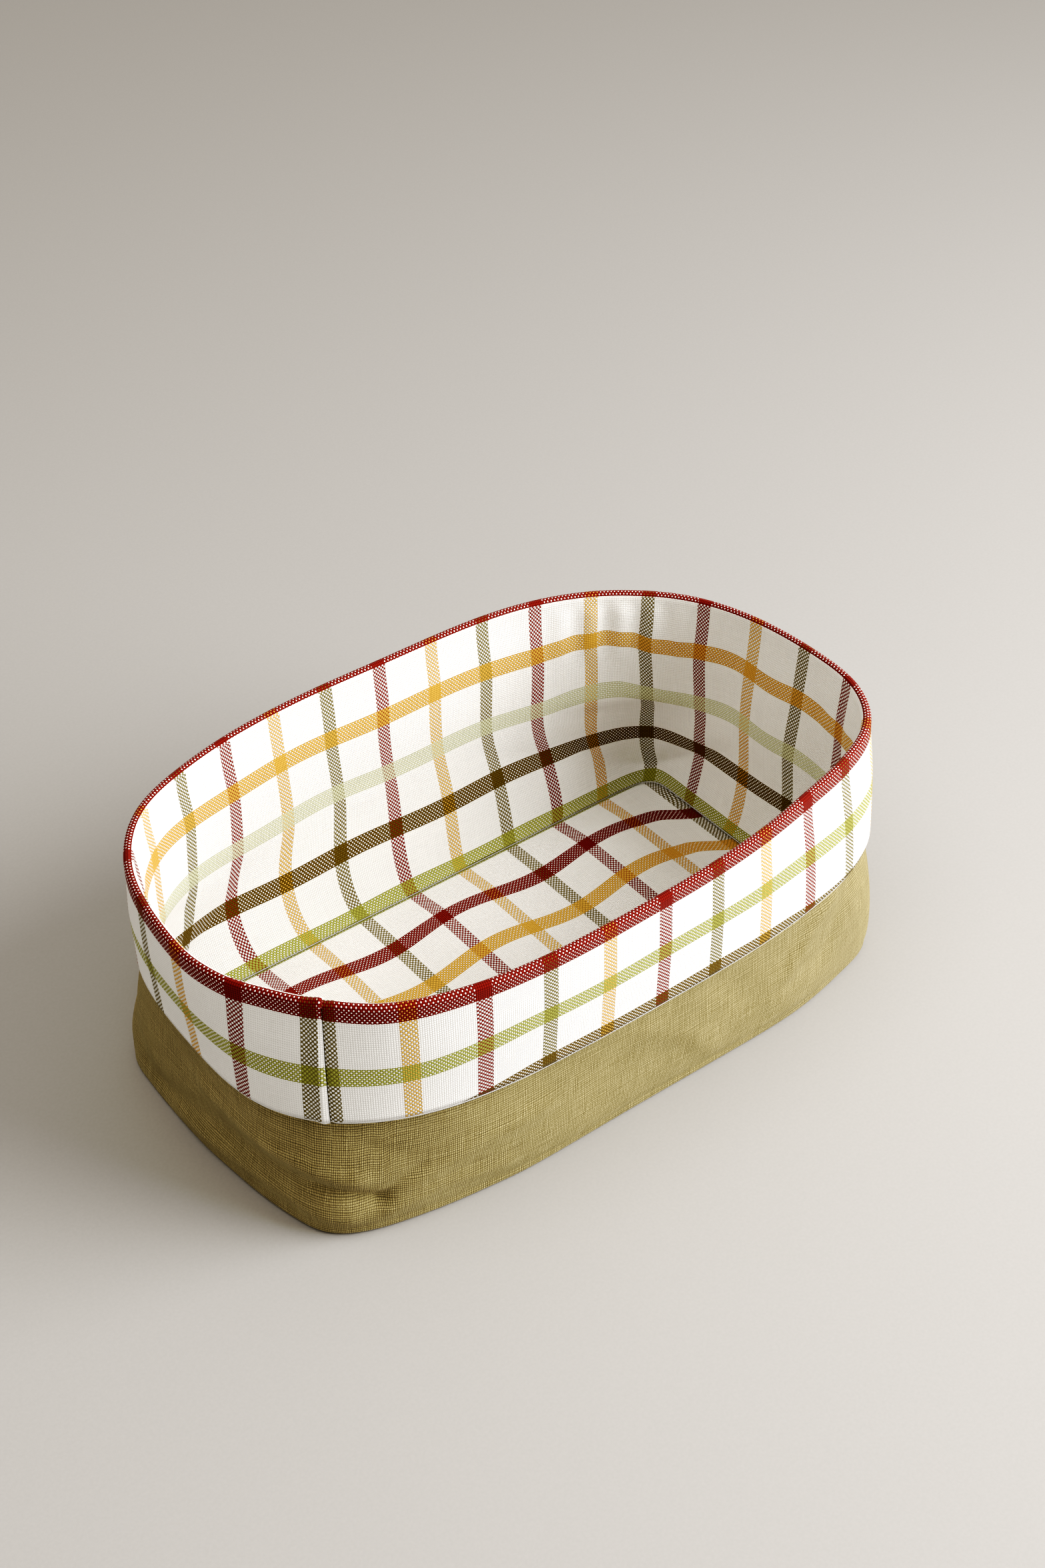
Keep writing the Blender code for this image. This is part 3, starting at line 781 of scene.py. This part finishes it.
# ---------------------------------------------------------------- the shell and what lies inside it
def build_shell():
    """The canvas from the base edge up the outside, over the rim under the cotton, down behind the cuff."""
    rows, heights = [], []
    for z in (0.0, 0.25, 0.7, 1.2, BASE_EDGE):
        ring, normals = ring_at(z, 0.0)
        inset = BASE_EDGE * (1.0 - math.sqrt(1.0 - (1.0 - z / BASE_EDGE) ** 2))
        ring[:, :2] -= normals * inset
        rows.append(ring)
        heights.append(z)
    top = RIM_CENTRE - 0.6
    for z in np.concatenate([np.linspace(2.6, HEM_Z + 4.0, 56), np.linspace(HEM_Z + 4.0, top, 9)[1:]]):
        rows.append(ring_at(z, 0.0)[0])
        heights.append(z)
    middle = BACKING_OUT / 2
    for angle in np.linspace(math.pi, 0.0, 6)[1:]:
        ring = ring_at(top, middle + middle * math.cos(angle))[0]
        ring[:, 2] += pressed(middle, top) * math.sin(angle)
        rows.append(ring)
        heights.append(top)
    for z in np.linspace(top, HEM_Z + 2.4, 9)[1:]:
        rows.append(ring_at(z, BACKING_OUT)[0])
        heights.append(z)
    rows, heights = np.array(rows), np.array(heights)
    lengths = np.linalg.norm(np.diff(rows, axis=0), axis=2)
    w = np.concatenate([np.zeros((1, ACROSS)), np.cumsum(lengths, axis=0)])
    thickness = pressed(CANVAS, heights)[:, None]
    piece = sheet_mesh("olive_shell", rows, cloth_at(SHARE * ROUND, w), thickness, OLIVE)
    declare(piece, "olive_canvas", "shell_wall", "cuff_backing")


def build_wall_stiffener():
    """The interlining of the wall, between the two cloths."""
    heights = np.linspace(STIFFENER_LOW + 0.3, RIM_CENTRE - 2.0, 40)
    rows = np.array([ring_at(z, WADDING_OUT)[0] for z in heights])
    thickness = pressed(WADDING, heights)[:, None]
    piece = sheet_mesh("wall_stiffener", rows, cloth_at(SHARE * ROUND, rows[..., 2]), thickness, FELT)
    declare(piece, "interlining", "wall_interlining")


def build_panel(name, edge, exponent, top, thickness, surface, slot_name, node):
    """A flat panel of the base. Its rounded corners leave 0.96 of the rectangle round it."""
    x, y = panel_grid(edge, exponent, 100, 56)[:2]
    face = np.stack([x, y, np.full_like(x, top)], axis=-1)
    piece = sheet_mesh(name, face, cloth_at(x, y), thickness, surface)
    declare(piece, slot_name, node)


def build_allowance(name, outer, width, top, thickness, surface, node):
    """A seam allowance that lies flat, all round the base."""
    outline, normals = outer
    rows = []
    for share in (0.0, 0.5, 1.0):
        ring = outline.copy()
        ring[:, :2] -= normals * width * share
        ring[:, 2] = top
        rows.append(ring)
    rows = np.array(rows[::-1])
    cloth = cloth_at(SHARE * ROUND, np.arange(3)[:, None] * width / 2)
    piece = sheet_mesh(name, rows, cloth, thickness, surface)
    declare(piece, "seam_allowance", node)


build_hem()
fold_ring, fold_w = build_lining()
build_lining_floor(fold_ring, fold_w)
build_seam()
build_shell()
build_wall_stiffener()
build_panel(
    "shell_floor",
    ring_at(0.35, -CANVAS - GAP - 0.6)[0],
    BASE[2],
    CANVAS,
    CANVAS,
    OLIVE,
    "olive_canvas",
    "shell_base",
)
build_panel(
    "base_stiffener",
    ring_at(STIFFENER_TOP, WADDING_OUT - WADDING - GAP)[0],
    BASE[2],
    STIFFENER_TOP,
    WADDING,
    FELT,
    "interlining",
    "base_interlining",
)
shell_edge = ring_at(SHELL_SEAM_TOP, WADDING_OUT)
build_allowance("shell_allowance", shell_edge, ALLOWANCE, SHELL_SEAM_TOP, COTTON, OLIVE, "shell_base_seam")
lining_edge, lining_normals = lining_ring(FLOOR_TOP, 0.0)
spread_edge = lining_edge[:, :2] + lining_normals * ALLOWANCE
lining_edge[:, :2] = keep_inside(spread_edge, LINING_SEAM_TOP, LINING_IN + 0.4)
build_allowance(
    "lining_allowance",
    (lining_edge, lining_normals),
    ALLOWANCE,
    LINING_SEAM_TOP,
    COTTON,
    PLAIN,
    "lining_base_seam",
)

# ---------------------------------------------------------------- stage, light and camera
# The ground, in metres: just under the basket, so that the two faces don't lie in one plane.
FLOOR_HALF, FLOOR_Z = 6.0, -0.0002
floor = bpy.data.objects.new("floor", bpy.data.meshes.new("floor"))
corners = [(x * FLOOR_HALF, y * FLOOR_HALF, FLOOR_Z) for x, y in ((-1, -1), (1, -1), (1, 1), (-1, 1))]
floor.data.from_pydata(corners, [], [(0, 1, 2, 3)])
floor.data.materials.append(floor_paper())
bpy.context.scene.collection.objects.link(floor)


def area_light(name, direction, distance, size, power, colour):
    """A round soft light that faces the basket."""
    aim = Vector((0.0, 0.0, HEIGHT * MM / 2))
    data = bpy.data.lights.new(name, "AREA")
    data.shape = "DISK"
    data.size = size
    data.energy = power
    data.color = colour
    lamp = bpy.data.objects.new(name, data)
    lamp.location = aim + Vector(direction).normalized() * distance
    lamp.rotation_euler = (aim - lamp.location).to_track_quat("-Z", "Y").to_euler()
    bpy.context.scene.collection.objects.link(lamp)


area_light("key", (0.66, -0.66, 0.54), 1.35, 1.15, 31.0, (1.0, 1.0, 1.0))
area_light("fill", (-0.30, -0.05, 0.95), 0.95, 0.55, 1.5, (1.0, 0.97, 0.92))
WORLD_COLOUR, WORLD_STRENGTH = (1.0, 0.935, 0.830, 1.0), 0.62
world = bpy.data.worlds.new("studio")
world.use_nodes = True
background = world.node_tree.nodes["Background"]
background.inputs["Color"].default_value = WORLD_COLOUR
background.inputs["Strength"].default_value = WORLD_STRENGTH
bpy.context.scene.world = world

# The picture's tones: the standard display, with a curve of (light, shown) points that deepens the shade.
TOE = ((0.06, 0.010), (0.15, 0.078), (0.27, 0.245), (0.55, 0.58))
view = bpy.context.scene.view_settings
view.view_transform = "Standard"
view.use_curve_mapping = True
for level, shown in TOE:
    view.curve_mapping.curves[3].points.new(level, shown)
view.curve_mapping.update()

# The camera: where it looks from and at, in metres and degrees, and how it is tilted about its own axis.
AZIMUTH, ELEVATION, ROLL = math.radians(-36.37), math.radians(38.5), math.radians(-1.34)
TARGET, CAMERA_DISTANCE, LENS = Vector((0.0785, 0.0954, 0.0)), 0.9666, 53.04
level_reach = math.cos(ELEVATION)
back = Vector((math.sin(AZIMUTH) * level_reach, -math.cos(AZIMUTH) * level_reach, math.sin(ELEVATION)))
right = (-back).cross(Vector((0, 0, 1))).normalized()
up = right.cross(-back)
tilted = math.cos(ROLL) * right + math.sin(ROLL) * up
upright = math.cos(ROLL) * up - math.sin(ROLL) * right
place = TARGET + back * CAMERA_DISTANCE
camera_data = bpy.data.cameras.new("camera")
camera_data.sensor_fit = "VERTICAL"
camera_data.sensor_height = 36.0
camera_data.lens = LENS
camera_data.clip_end = 50.0
camera = bpy.data.objects.new("camera", camera_data)
turned = Matrix((tilted, upright, back)).transposed().to_4x4()
camera.matrix_world = Matrix.Translation(place) @ turned
bpy.context.scene.collection.objects.link(camera)
bpy.context.scene.camera = camera

bpy.context.view_layer.update()
